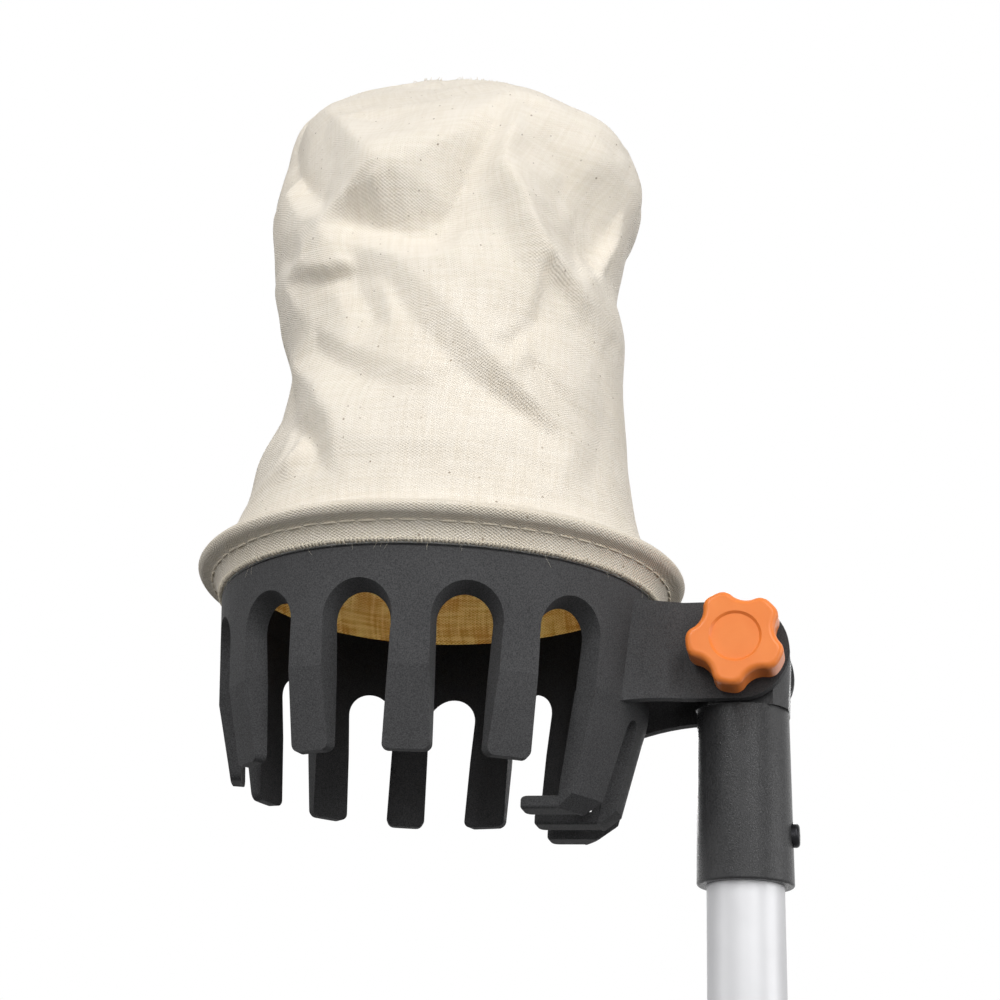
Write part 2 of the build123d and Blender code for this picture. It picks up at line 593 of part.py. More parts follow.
# Knob: five round lobes and a shallow dish, on a hub that holds the nut
with BuildPart() as knob:
    with BuildSketch(Plane.XZ.offset(KNOB_BODY)) as lobes:
        valley_centre = KNOB_DIAMETER / 2 - KNOB_VALLEY_DEPTH + KNOB_VALLEY_RADIUS
        with Locations((0, PIVOT_Z)):
            Circle(KNOB_DIAMETER / 2)
            with PolarLocations(valley_centre, KNOB_LOBES, KNOB_LOBE_ANGLE + 180 / KNOB_LOBES):
                Circle(KNOB_VALLEY_RADIUS, mode=Mode.SUBTRACT)
        fillet(lobes.vertices(), KNOB_LOBE_ROUND)
    extrude(amount=KNOB_THICKNESS)
    fillet(knob.faces().sort_by(Axis.Y)[0].edges(), KNOB_EDGE_ROUND)
    with BuildSketch(Plane.XZ.offset(KNOB_BODY + KNOB_THICKNESS)):
        with Locations((0, PIVOT_Z)):
            Circle(KNOB_DISH_DIAMETER / 2)
    extrude(amount=-KNOB_DISH_DEPTH, taper=45, mode=Mode.SUBTRACT)
    with BuildSketch(Plane.XZ.offset(KNOB_BACK)):
        with Locations((0, PIVOT_Z)):
            Circle(KNOB_HUB_DIAMETER / 2)
    extrude(amount=KNOB_HUB_HEIGHT)
    with BuildSketch(Plane.XZ.offset(KNOB_BACK)):
        with Locations((0, PIVOT_Z)):
            RegularPolygon(NUT_ACROSS_FLATS / 2 + NUT_CLEARANCE, 6, major_radius=False)
    extrude(amount=NUT_HEIGHT + NUT_CLEARANCE, mode=Mode.SUBTRACT)
    with BuildSketch(Plane.XZ.offset(KNOB_BACK)):
        with Locations((0, PIVOT_Z)):
            Circle(BOLT_RADIUS + BOLT_CLEARANCE)
    extrude(amount=BOLT_END - KNOB_BACK + JOINT_GAP, mode=Mode.SUBTRACT)
knob.part.label = "knob"
export_step(knob.part, "parts/knob.step")

# Nut in the knob's back
with BuildPart() as knob_nut:
    with BuildSketch(Plane.XZ.offset(KNOB_BACK + NUT_CLEARANCE)):
        with Locations((0, PIVOT_Z)):
            RegularPolygon(NUT_ACROSS_FLATS / 2, 6, major_radius=False)
            Circle(BOLT_RADIUS + BOLT_CLEARANCE, mode=Mode.SUBTRACT)
    extrude(amount=NUT_HEIGHT - NUT_CLEARANCE)
knob_nut.part.label = "knob_nut"
export_step(knob_nut.part, "parts/knob_nut.step")

# Hem: canvas wrapped round the brim, from the ring's edge over the rim to a turned-in top
with BuildPart() as hem_band:
    loft(oval_stack(HEM_OUTSIDE), ruled=True)
    loft(oval_stack(HEM_INSIDE), ruled=True, mode=Mode.SUBTRACT)
    extrude(oval(RIM_RISE, -HEM_TURN_IN), amount=2 * HEM_EDGE, mode=Mode.SUBTRACT)
hem_band.part.label = "hem_band"
export_step(hem_band.part, "parts/hem_band.step")

# Elastic in the neck under the brim
with BuildPart() as hem_elastic:
    elastic_rise = NECK_RISE + (NECK_HEIGHT - ELASTIC_WIDTH) / 2
    extrude(oval(elastic_rise, ELASTIC_THICKNESS + HEM_CLEARANCE - NECK_DEPTH), amount=ELASTIC_WIDTH)
    extrude(oval(elastic_rise, HEM_CLEARANCE - NECK_DEPTH), amount=ELASTIC_WIDTH, mode=Mode.SUBTRACT)
hem_elastic.part.label = "hem_elastic"
export_step(hem_elastic.part, "parts/hem_elastic.step")

# Bag: a canvas sack with its closed end up, cut into its two panels at the side seams
with BuildPart() as bag_shell:
    loft(bag_loft(0))
    loft(bag_loft(CANVAS), mode=Mode.SUBTRACT)

with BuildPart() as bag_front_panel:
    add(bag_shell.part)
    split(bisect_by=Plane.XZ, keep=Keep.TOP)
bag_front_panel.part.label = "bag_front_panel"
export_step(bag_front_panel.part, "parts/bag_front_panel.step")

with BuildPart() as bag_back_panel:
    add(bag_shell.part)
    split(bisect_by=Plane.XZ, keep=Keep.BOTTOM)
bag_back_panel.part.label = "bag_back_panel"
export_step(bag_back_panel.part, "parts/bag_back_panel.step")
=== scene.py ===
"""Looks of the fruit picker head: a canvas bag on a black comb ring, with a knob-clamped tilt joint."""

import json
import math

import bpy
import numpy as np
from mathutils import Euler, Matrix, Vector, noise
from mathutils.geometry import delaunay_2d_cdt

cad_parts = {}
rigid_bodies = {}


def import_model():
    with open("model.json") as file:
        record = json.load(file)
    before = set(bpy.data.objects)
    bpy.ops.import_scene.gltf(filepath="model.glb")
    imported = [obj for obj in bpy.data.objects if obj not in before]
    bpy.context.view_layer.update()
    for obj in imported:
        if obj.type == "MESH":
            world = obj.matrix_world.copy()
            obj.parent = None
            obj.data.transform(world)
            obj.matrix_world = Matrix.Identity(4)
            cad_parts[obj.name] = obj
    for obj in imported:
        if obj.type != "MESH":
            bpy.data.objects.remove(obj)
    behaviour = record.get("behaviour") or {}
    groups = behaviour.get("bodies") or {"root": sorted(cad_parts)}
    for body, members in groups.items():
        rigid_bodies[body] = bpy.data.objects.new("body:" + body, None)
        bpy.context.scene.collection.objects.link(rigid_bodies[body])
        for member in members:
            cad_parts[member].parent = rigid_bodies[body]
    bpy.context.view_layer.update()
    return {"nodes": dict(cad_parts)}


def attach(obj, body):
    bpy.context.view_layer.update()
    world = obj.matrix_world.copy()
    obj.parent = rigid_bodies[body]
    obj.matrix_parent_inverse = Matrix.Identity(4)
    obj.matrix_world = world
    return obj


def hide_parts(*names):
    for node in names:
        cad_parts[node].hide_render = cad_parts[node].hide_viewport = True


for old in list(bpy.data.objects):
    bpy.data.objects.remove(old)
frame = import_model()
nodes = frame["nodes"]
scene = bpy.context.scene
MM = 0.001

# The photo's camera, in metres and degrees, and the photo's width in pixels
CAMERA_PLACE = (0.03784, -0.54100, 0.02299)
CAMERA_TURN = Euler([math.radians(a) for a in (112.8916, -2.4758, 11.9470)])
CAMERA_LENS = 59.379
CAMERA_SENSOR = 36.0
PHOTO_WIDTH = 1000

# The ring's own frame: its axis in the part's frame, with z from the ring's edge, in millimetres
ARM_LENGTH = 114.3
RING_RISE = 212.65

# The ring's oval: a half circle, two side arcs and a nose
RING_RADIUS = 70.5
RING_NOSE = 85.0
RING_SIDE_CENTRE = 30.0
NOSE_STEP = RING_RADIUS + RING_SIDE_CENTRE - RING_NOSE
NOSE_CENTRE = (RING_SIDE_CENTRE**2 - NOSE_STEP**2) / (2 * NOSE_STEP)
NOSE_RADIUS = RING_NOSE - NOSE_CENTRE
SIDE_RADIUS = RING_RADIUS + RING_SIDE_CENTRE
SIDE_TURN = math.atan2(NOSE_CENTRE, RING_SIDE_CENTRE)
OVAL_CENTRE = (RING_NOSE - RING_RADIUS) / 2

# Bag sections above the hem: height, centre along the arm, half length, half width
BAG_SECTIONS = np.array([
    (12.6, 7.2, 84.4, 77.0),
    (14.4, 6.4, 80.0, 74.4),
    (22.0, 5.6, 75.4, 72.0),
    (38.0, 6.0, 70.4, 70.0),
    (52.0, 5.6, 68.6, 68.4),
    (71.0, 8.2, 64.6, 66.0),
    (91.0, 8.6, 62.6, 63.6),
    (110.0, 5.8, 65.6, 61.0),
    (130.0, 2.1, 66.2, 58.0),
    (151.0, 2.2, 70.1, 54.4),
    (172.0, 4.1, 73.8, 49.0),
    (190.0, 3.2, 70.9, 40.6),
    (205.0, -3.0, 63.8, 31.0),
    (218.0, -7.5, 57.6, 20.0),
    (229.0, -9.9, 49.9, 10.0),
    (236.0, -11.0, 41.5, 4.2),
    (239.0, -11.0, 34.0, 0.9),
])
# The closed end is arched: how far it drops, and drops more at its ends
END_FROM = 150.0
END_DROP = 4.4
END_ARCH = 5.3
END_TILT = -0.5
# The hem's profile from its lower edge over the lip: outset from the oval, height
HEM_PROFILE = [
    (-0.9, 2.7),
    (-0.3, 1.9),
    (0.4, 1.5),
    (1.1, 1.65),
    (1.5, 2.4),
    (1.8, 3.5),
    (2.2, 4.7),
    (2.8, 5.9),
    (3.5, 6.8),
    (4.0, 7.3),
    (4.8, 7.75),
    (6.0, 8.1),
    (7.7, 8.65),
    (8.9, 9.8),
    (9.4, 11.0),
    (9.0, 12.1),
    (8.2, 12.9),
]
HEM_ROWS_PER_STEP = 3
BAG_ROWS = 176
BAG_COLUMNS = 340
CLOTH = 0.9
MEAN_RADIUS = 68.0
FOLD_STEP = 4.0
FOLD_SPACING = 1.5
FOLD_WRAP = 80.0
FOLD_SOFTENING = 1
FOLD_GAIN = 1.25
# Where the cloth stays without folds: all round near the hem and the closed end, and along the side seams
STILL_TURN = 12
STILL_FOOT = (0, 8, 18)
STILL_END = (8, 0)
SEAM_ANGLES = (348, 0, 12, 168, 180, 192)
SEAM_ARCS = (60, 90, 120, 150, 180, 205)
# Height over which the bag's foot leaves the hem's lip
FOOT_RISE = 14.0
# Distance in the weave's map between the back panel and the front one, and the end seam's width there
PANEL_SHIFT = 0.4
SEAM_WEAVE = 0.001
# A finer crumple of the cloth above the hem: size of its facets and its depth
CRUMPLE_SIZE = 21.0
CRUMPLE_DEPTH = 1.1
CRUMPLE_FROM = 30.0
CRUMPLE_FULL = 90.0

# Fold lines picked on the photo: pixel across, pixel down, and height of the fold in millimetres
PHOTO_FOLDS = {
    "patch_side": [(351, 244, -0.4), (353, 260, -1.2)],
    "right_floor": [
        (530, 130, 3.4), (524, 150, 4), (537, 172, 4.2), (546, 192, 3.4), (555, 212, 2.8), (563, 226, 2.4),
    ],
    "front_mid": [(496, 206, 4.8), (504, 232, 4), (510, 255, 3)],
    "right_hollow_low": [(572, 250, -1), (582, 257, -3.2), (592, 250, -3.4), (602, 238, -3.2)],
    "right_hollow_mid": [(562, 200, -0.8), (576, 214, -3), (588, 222, -3.8)],
    "right_hollow_top": [(545, 146, 0.8), (560, 166, -1), (578, 184, -2.2), (594, 188, -2.4)],
    "front_low": [(456, 250, 1.8), (484, 262, 2.6), (508, 270, 2.6), (528, 274, 2.4)],
    "facet_right": [(326, 108, 2.5), (334, 114, 4.5), (352, 132, 7.5), (371, 152, 10.5)],
    "flap_left": [
        (371, 151, 10.5), (367, 163, 9.6), (352, 180, 7.4), (338, 196, 5.6), (328, 207, 4.6), (314, 230, 4),
        (299, 256, 3.5), (285, 286, 2),
    ],
    "facet_left": [(306, 129, -1), (299, 151, -1.8), (299, 168, -2.4), (309, 190, -3), (324, 204, -0.5)],
    "facet_mid": [(322, 140, 1.8), (336, 165, 2.6), (328, 186, 0.4)],
    "strip_left": [(287, 192, 2), (292, 205, 2.5), (302, 218, 3), (290, 235, 2.5), (281, 232, 2.0)],
    "strip_low": [(292, 262, 1), (284, 262, 0.5)],
    "flap_right": [(372, 170, 7.8), (362, 190, 4), (350, 207, 1.4), (338, 222, 0.8)],
    "ridge_top": [
        (371, 170, 9.6), (392, 162, 8.8), (415, 151, 8.2), (439, 140, 7.8), (461, 127, 7.4),
        (485, 106, 6.6), (503, 92, 5),
    ],
    "top_facet": [(352, 112, 2.5), (388, 108, 3), (430, 104, 3.5), (470, 94, 2.5)],
    "top_dip": [(371, 120, 1.8), (383, 124, 2.2)],
    "top_dip_2": [(416, 89, -1.6), (430, 101, 0.2), (445, 86, -1.6)],
    "hollow_low": [(352, 220, -2.4), (382, 230, -4.2), (412, 237, -4.6), (439, 240, -3.8)],
    "hollow_right": [(513, 88, 5), (494, 124, 3.6), (477, 157, 1.6), (464, 190, -1), (450, 222, -3.4)],
    "front_facet": [(503, 124, 5), (492, 154, 4.2), (482, 186, 3.2), (474, 210, 2.4), (466, 230, 1.6)],
    "ridge_curved": [
        (519, 104, 5.5), (508, 132, 7.5), (502, 159, 10), (513, 173, 11), (525, 190, 11.4),
        (534, 214, 10.8), (545, 236, 9), (542, 262, 5), (536, 290, 2), (526, 318, 0.5),
    ],
    "right_flap": [(618, 240, 0.8), (608, 264, 1.8), (600, 280, 2.0)],
    "right_top": [(548, 121, 3), (572, 116, 3), (592, 128, 2.4), (604, 152, 1.4)],
    "right_top_edge": [(612, 150, 0.4), (618, 172, 0.2), (620, 190, -0.4)],
    "right_top_dip": [(562, 138, 1), (578, 150, 0.4)],
    "right_diagonal": [
        (545, 236, 9), (556, 252, 7.6), (567, 266, 6.2), (586, 296, 4), (604, 318, 2), (616, 332, 1),
    ],
    "below_diagonal": [(556, 276, 1.5), (566, 300, 0), (582, 330, -0.5), (596, 360, 0)],
    "curve_shadow": [(548, 262, 2.4), (545, 292, -0.5), (534, 322, -1), (512, 342, 0.5)],
    "crease_ridge": [
        (390, 252, 0.8), (420, 279, 1.8), (450, 306, 2.6), (475, 334, 3), (496, 358, 3.2), (515, 380, 3),
        (533, 399, 2.6), (556, 420, 1.6), (580, 440, 0.8),
    ],
    "crease_valley": [
        (384, 276, -1), (401, 306, -1.5), (420, 328, -1.9), (437, 344, -2.2), (457, 364, -2.5),
        (477, 383, -2.6), (499, 399, -2.5), (521, 413, -2), (550, 438, -0.8),
    ],
    "crease_far": [(430, 258, 1.5), (470, 290, 2.2), (505, 320, 2), (530, 350, 1.6)],
    "weak_ridge": [(302, 314, 1.0), (322, 330, 1.2), (345, 343, 1.3), (383, 356, 1.1), (424, 368, 0.5)],
    "weak_valley": [
        (318, 350, -0.6), (338, 365, -1.1), (372, 382, -1.3), (414, 388, -1.0), (440, 392, -0.8),
    ],
    "patch": [(303, 248, 3), (322, 245, 3), (334, 243, 2.4)],
    "patch_low": [(300, 268, 2.8), (325, 266, 2.8), (345, 258, 1.8)],
    "patch_crease": [
        (296, 284, 0.4), (325, 284, -1.2), (356, 276, -2.8), (362, 298, -2.7), (374, 324, -2.2),
    ],
    "valley_left_edge": [(340, 304, 0.5), (348, 324, 0.8)],
    "valley_right_edge": [(384, 284, -0.2), (390, 312, 0.4), (396, 334, 0.6)],
    "pinch_ridge": [(291, 366, 1.5), (312, 383, 3), (328, 410, 3.6), (333, 438, 3), (334, 460, 1.5)],
    "pinch_valley": [(294, 391, -2), (296, 415, -3.4), (312, 440, -2.6), (322, 466, -1.2)],
    "skirt_ridge": [(274, 470, 1.5), (285, 459, 2.5), (297, 446, 1)],
    "small_ridge": [(542, 360, 1.4), (556, 378, 1.4), (572, 396, 1.2)],
    "small_valley": [(536, 366, -0.2), (550, 384, -0.2), (566, 402, -0.2)],
    "low_soft": [(518, 436, -1.0), (517, 462, -1)],
    "low_soft_2": [(606, 412, -0.8), (598, 448, -1.2), (590, 480, -1.0)],
    "low_soft_edge": [(572, 452, 1.0), (560, 475, 1.4), (540, 495, 0.8)],
    "low_left": [(380, 440, 1), (400, 470, 0.5), (350, 480, 0.5)],
    "low_mid": [(460, 440, 1), (450, 480, 0.5)],
}
# Guessed fold lines of the far side: angle round the bag in degrees, then distance up it and height
FAR_FOLDS = {
    "far_ridge": [(60, 205, 1), (80, 180, 5), (95, 150, 4), (112, 120, 3), (128, 95, 1)],
    "far_hollow": [(45, 190, -2), (66, 160, -4), (82, 130, -3.5), (100, 100, -2)],
    "far_top_ridge": [(120, 210, 2), (125, 185, 5), (135, 160, 3)],
    "far_top_hollow": [(104, 205, -3), (110, 180, -3.5), (112, 160, -2)],
    "far_low_ridge": [(40, 120, 2), (60, 95, 3), (75, 70, 1.5)],
    "far_low_hollow": [(30, 100, -2), (50, 78, -2.5), (66, 52, -1)],
    "far_side_hollow": [(140, 130, -2), (150, 100, -2.5), (148, 70, -1)],
    "far_arm_ridge": [(20, 170, 2), (30, 150, 2.5), (38, 140, 1)],
    "far_side_crease": [(155, 190, 1), (150, 165, -2), (160, 150, -1.5)],
    "far_skirt": [(95, 60, 0.8), (110, 40, 1), (125, 50, 0.5)],
}
# Search for a fold's place on the bag: spacing of the first tries, then steps of this length at most
TRY_COLUMNS = 120
TRY_ROWS = 90
PLACE_STEPS = 15
PLACE_STEP_LIMIT = 2.0
PLACE_DAMPING = 0.05
PLACE_MARGIN = 0.5
SMALL_MOVE = 0.3

# Materials
# Noise mostly lies between these
NOISE_LOW, NOISE_HIGH = 0.3, 0.7
SPECK_LOW, SPECK_HIGH = 0.34, 0.66
PLASTIC_CLOUDS = 45.0
PLASTIC_TONE = 0.12
PLASTIC_ROUGH_SPAN = 0.07
PLASTIC_BUMP = 0.00015
PLASTIC_BUMP_STRENGTH = 0.8
# Canvas: pitch of its threads in metres, how they wander, and their relief on the bag and on the hem
WARP_PITCH = 0.00160
WEFT_PITCH = 0.00100
WANDER_SCALE = 90.0
WANDER = 0.0022
SLUB_ACROSS, SLUB_ALONG = 700.0, 60.0
SLUB_RELIEF = 0.5
SLUB_LOW, SLUB_HIGH = 0.75, 1.25
HEM_WEAVE_END, BAG_WEAVE_START = 0.017, 0.027
BAG_RELIEF, HEM_RELIEF = 0.38, 0.60
# How much painted shade darkens the gaps between the hem's threads
HEM_GAP_SHADE = 0.55
FUZZ_SCALE = 2600.0
FUZZ_RELIEF = 0.3
STREAK_DARK, STREAK_PALE = 0.14, -0.08
MOTTLE_SCALE = 26.0
MOTTLE = 0.12
CANVAS_BUMP = 0.00032
CANVAS_BUMP_STRENGTH = 0.75
# Seed flecks: how many to a metre, their size in that spacing, and how dark they are
FLECK_SCALE = 190.0
FLECK_SMALL, FLECK_LARGE = 0.03, 0.08
FLECK_FAINT, FLECK_DARK = 0.15, 0.7
TWIST_SCALE = 2400.0
METAL_CLOUDS = 60.0
METAL_SHADE = 0.94
METAL_ROUGH_SPAN = 0.015
KNOB_GRAIN = 2600.0
KNOB_CLOUDS = 110.0
KNOB_ROUGH_LOW, KNOB_ROUGH_HIGH = 0.27, 0.39


def srgb(r, g, b):
    """Linear colour of an 8-bit one."""
    def one(c):
        c /= 255
        return c / 12.92 if c <= 0.04045 else ((c + 0.055) / 1.055) ** 2.4

    return (one(r), one(g), one(b), 1.0)


class Graph:
    """A material's nodes, added one at a time."""

    def __init__(self, name):
        self.material = bpy.data.materials.new(name)
        self.material.use_nodes = True
        self.tree = self.material.node_tree
        self.shader = self.tree.nodes["Principled BSDF"]

    def add(self, kind, inputs=None, **values):
        node = self.tree.nodes.new("ShaderNode" + kind)
        for key, value in values.items():
            setattr(node, key, value)
        for key, value in (inputs or {}).items():
            self.put(node.inputs[key], value)
        return node

    def put(self, socket, value):
        if isinstance(value, bpy.types.NodeSocket):
            self.tree.links.new(value, socket)
        else:
            socket.default_value = value

    def set(self, **values):
        for key, value in values.items():
            self.put(self.shader.inputs[key.replace("_", " ")], value)

    def math(self, operation, a, b=0.0, c=0.0):
        node = self.add("Math", operation=operation)
        for socket, value in zip(node.inputs, (a, b, c)):
            self.put(socket, value)
        return node.outputs[0]

    def noise(self, vector, scale, detail=2.0, roughness=0.5):
        inputs = {"Vector": vector, "Scale": scale, "Detail": detail, "Roughness": roughness}
        return self.add("TexNoise", inputs).outputs["Fac"]

    def span(self, value, low, high, to_low, to_high):
        inputs = {"Value": value, "From Min": low, "From Max": high, "To Min": to_low, "To Max": to_high}
        return self.add("MapRange", inputs).outputs[0]

    def mix(self, factor, a, b):
        node = self.add("Mix", data_type="RGBA")
        self.put(node.inputs["Factor"], factor)
        self.put(node.inputs["A"], a)
        self.put(node.inputs["B"], b)
        return node.outputs["Result"]

    def bump(self, height, strength, distance, normal=None):
        node = self.add("Bump", {"Height": height, "Strength": strength, "Distance": distance})
        if normal is not None:
            self.put(node.inputs["Normal"], normal)
        return node.outputs["Normal"]

    def scaled(self, vector, x, y, z):
        return self.add("Mapping", {"Vector": vector, "Scale": (x, y, z)}).outputs[0]


def plastic(name, colour, pale, grain_mm, grain, rough, gloss):
    """Moulded plastic with a fine spark-eroded grain, and pale rubbed spots."""
    g = Graph(name)
    where = g.add("TexCoord").outputs["Object"]
    fine = g.noise(where, 1 / (grain_mm * MM), 2.0, 0.6)
    broad = g.noise(where, PLASTIC_CLOUDS, 3.0, 0.55)
    tone = g.span(broad, NOISE_LOW, NOISE_HIGH, -PLASTIC_TONE, PLASTIC_TONE)
    speck = g.span(fine, SPECK_LOW, SPECK_HIGH, 0.0, 1.0)
    share = g.add("Clamp", {"Value": g.math("ADD", tone, speck)}).outputs[0]
    dull, sleek = rough + PLASTIC_ROUGH_SPAN, rough - PLASTIC_ROUGH_SPAN
    g.set(
        Base_Color=g.mix(share, colour, pale),
        Roughness=g.span(fine, NOISE_LOW, NOISE_HIGH, dull, sleek),
        Normal=g.bump(fine, PLASTIC_BUMP_STRENGTH, PLASTIC_BUMP * grain),
    )
    g.shader.inputs["Specular IOR Level"].default_value = gloss
    return g.material


def canvas(name, light, shade, fleck_share, weave, streaks):
    """Plain-woven cotton: thick threads that wander a little, slubs, a few dark seed flecks, and painted
    shade in the gaps between threads, as much as weave says on the bag.
    """
    g = Graph(name)
    cloth = g.add("UVMap", uv_map="weave").outputs[0]
    place = g.add("TexCoord").outputs["Object"]
    wander = g.add("TexNoise", {"Vector": cloth, "Scale": WANDER_SCALE, "Detail": 1.0}).outputs["Color"]
    offset = g.add("VectorMath", {0: wander, 1: (0.5, 0.5, 0.5)}, operation="SUBTRACT").outputs[0]
    offset = g.add("VectorMath", {0: offset, "Scale": WANDER}, operation="SCALE").outputs[0]
    moved = g.add("VectorMath", {0: cloth, 1: offset}, operation="ADD").outputs[0]
    axes = g.add("SeparateXYZ", {0: moved})
    warp = g.math("SINE", g.math("MULTIPLY", axes.outputs[0], 2 * math.pi / WARP_PITCH))
    weft = g.math("SINE", g.math("MULTIPLY", axes.outputs[1], 2 * math.pi / WEFT_PITCH))
    over = g.math("MULTIPLY", warp, weft)
    slub_a = g.noise(g.scaled(cloth, SLUB_ACROSS, SLUB_ALONG, 1.0), 1.0, 2.0)
    slub_b = g.noise(g.scaled(cloth, SLUB_ALONG, SLUB_ACROSS, 1.0), 1.0, 2.0)
    slub = g.math("ADD", slub_a, slub_b)
    hem = g.span(axes.outputs[1], HEM_WEAVE_END, BAG_WEAVE_START, 1.0, 0.0)
    relief = g.span(hem, 0, 1, BAG_RELIEF, HEM_RELIEF)
    height = g.math("MULTIPLY_ADD", over, relief, g.math("MULTIPLY", slub, SLUB_RELIEF))
    fuzz = g.noise(place, FUZZ_SCALE, 2.0)
    height = g.math("MULTIPLY_ADD", fuzz, FUZZ_RELIEF, height)
    # Painted shade: the gaps between threads are mixed towards the shade colour, more on the hem
    gap_shade = g.math("MULTIPLY", g.span(over, -1.0, 0.4, 1.0, 0.0), g.span(hem, 0, 1, weave, HEM_GAP_SHADE))
    streak = g.span(slub, SLUB_LOW, SLUB_HIGH, STREAK_DARK * streaks, STREAK_PALE * streaks)
    mottle = g.span(g.noise(place, MOTTLE_SCALE, 3.0), 0.35, 0.7, 0.0, MOTTLE)
    dark = g.math("ADD", g.math("ADD", gap_shade, streak), mottle)
    dark = g.add("Clamp", {"Value": dark}).outputs[0]
    colour = g.mix(dark, light, shade)
    cells = {"Vector": cloth, "Scale": FLECK_SCALE}
    spots = g.add("TexVoronoi", cells, feature="F1", voronoi_dimensions="2D")
    pick = g.add("SeparateColor", {"Color": spots.outputs["Color"]})
    size = g.span(pick.outputs[1], 0.0, 1.0, FLECK_SMALL, FLECK_LARGE)
    inside = g.math("LESS_THAN", spots.outputs["Distance"], size)
    chosen = g.math("GREATER_THAN", pick.outputs[0], 1.0 - fleck_share)
    depth = g.span(pick.outputs[2], 0, 1, FLECK_FAINT, FLECK_DARK)
    fleck = g.math("MULTIPLY", g.math("MULTIPLY", inside, chosen), depth)
    colour = g.mix(fleck, colour, srgb(112, 84, 52))
    g.set(Base_Color=colour, Roughness=0.92, Normal=g.bump(height, CANVAS_BUMP_STRENGTH, CANVAS_BUMP))
    g.shader.inputs["Sheen Weight"].default_value = 0.15
    g.shader.inputs["Sheen Roughness"].default_value = 0.5
    g.shader.inputs["Specular IOR Level"].default_value = 0.15
    return g.material


def thread_material(name, light, shade):
    """Twisted sewing thread."""
    g = Graph(name)
    place = g.add("TexCoord").outputs["Object"]
    twist = g.noise(place, TWIST_SCALE, 1.0)
    g.set(Base_Color=g.mix(twist, shade, light), Roughness=0.8, Normal=g.bump(twist, 0.4, 0.0001))
    return g.material


def metal(name, colour, rough, along=(1.0, 1.0, 1.0), line=900.0, bare=1.0):
    """Drawn or turned metal, with fine lines across one direction; less bare where it is anodised."""
    g = Graph(name)
    place = g.add("TexCoord").outputs["Object"]
    lines = g.noise(g.scaled(place, *(line * a for a in along)), 1.0, 3.0)
    dull = g.noise(place, METAL_CLOUDS, 2.0)
    shade = tuple(METAL_SHADE * c for c in colour[:3]) + (1.0,)
    g.set(
        Base_Color=g.mix(g.span(dull, NOISE_LOW, NOISE_HIGH, 0.0, 1.0), colour, shade),
        Roughness=g.span(lines, NOISE_LOW, NOISE_HIGH, rough - METAL_ROUGH_SPAN, rough + METAL_ROUGH_SPAN),
        Normal=g.bump(lines, 0.02, 0.00005),
    )
    g.shader.inputs["Metallic"].default_value = bare
    return g.material


def orange_plastic(name):
    """Satin orange moulding with a fine grain."""
    g = Graph(name)
    place = g.add("TexCoord").outputs["Object"]
    grain = g.noise(place, KNOB_GRAIN, 2.0)
    share = g.span(g.noise(place, KNOB_CLOUDS, 2.0), NOISE_LOW, NOISE_HIGH, 0.0, 1.0)
    g.set(
        Base_Color=g.mix(share, srgb(241, 131, 53), srgb(245, 138, 61)),
        Roughness=g.span(grain, NOISE_LOW, NOISE_HIGH, KNOB_ROUGH_LOW, KNOB_ROUGH_HIGH),
        Normal=g.bump(grain, 0.16, 0.00006),
    )
    g.shader.inputs["Specular IOR Level"].default_value = 0.38
    return g.material


RING_BLACK = plastic("ring_black", srgb(62, 62, 63), srgb(86, 86, 87), 0.42, 0.50, 0.58, 0.03)
SOCKET_BLACK = plastic("socket_black", srgb(34, 34, 35), srgb(64, 64, 65), 0.50, 1.20, 0.28, 0.24)
KNOB_ORANGE = orange_plastic("knob_orange")
POLE_METAL = metal("pole_aluminium", srgb(212, 212, 214), 0.46, (1.0, 1.0, 0.03), bare=0.3)
BOLT_METAL = metal("bolt_zinc", srgb(190, 190, 192), 0.35)
SCREW_METAL = metal("screw_black", srgb(40, 40, 42), 0.30)
WASHER_GREY = plastic("washer_grey", srgb(120, 120, 122), srgb(140, 140, 142), 0.5, 0.2, 0.5, 0.3)
# Thread colour, then a shade colour that is painted shade in the thread gaps and also the real darker tone
# of slubs and mottle; weave is how strongly the gaps take the painted shade
CANVAS_OUT = canvas("canvas_outside", srgb(243, 235, 222), srgb(206, 190, 160), 0.24, 0.08, 1.0)
# The inside is a copy of the canvas in warmer, ochre colours: a painted tint of the daylight that comes
# through the cloth, added to the real subsurface light set below
CANVAS_IN = canvas("canvas_inside", srgb(236, 210, 168), srgb(188, 150, 102), 0.14, 0.95, 5.0)
# Daylight comes through the thin cloth and shows on its inside
CANVAS_IN_SHADER = CANVAS_IN.node_tree.nodes["Principled BSDF"]
CANVAS_IN_SHADER.inputs["Subsurface Weight"].default_value = 1.0
CANVAS_IN_SHADER.inputs["Subsurface Radius"].default_value = (1.0, 0.9, 0.75)
CANVAS_IN_SHADER.inputs["Subsurface Scale"].default_value = 0.0035
THREAD = thread_material("thread", srgb(238, 230, 214), srgb(205, 194, 172))
ELASTIC = thread_material("elastic", srgb(225, 225, 222), srgb(190, 190, 188))

for node, material in {
    "pole_tube": POLE_METAL,
    "pole_socket": SOCKET_BLACK,
    "socket_screw": SCREW_METAL,
    "picker_head": RING_BLACK,
    "pivot_bolt": BOLT_METAL,
    "friction_washer_near": WASHER_GREY,
    "friction_washer_far": WASHER_GREY,
    "hem_elastic": ELASTIC,
    "knob_washer": BOLT_METAL,
    "knob": KNOB_ORANGE,
    "knob_nut": BOLT_METAL,
}.items():
    mesh = nodes[node].data
    mesh.materials.clear()
    mesh.materials.append(material)


# Bag


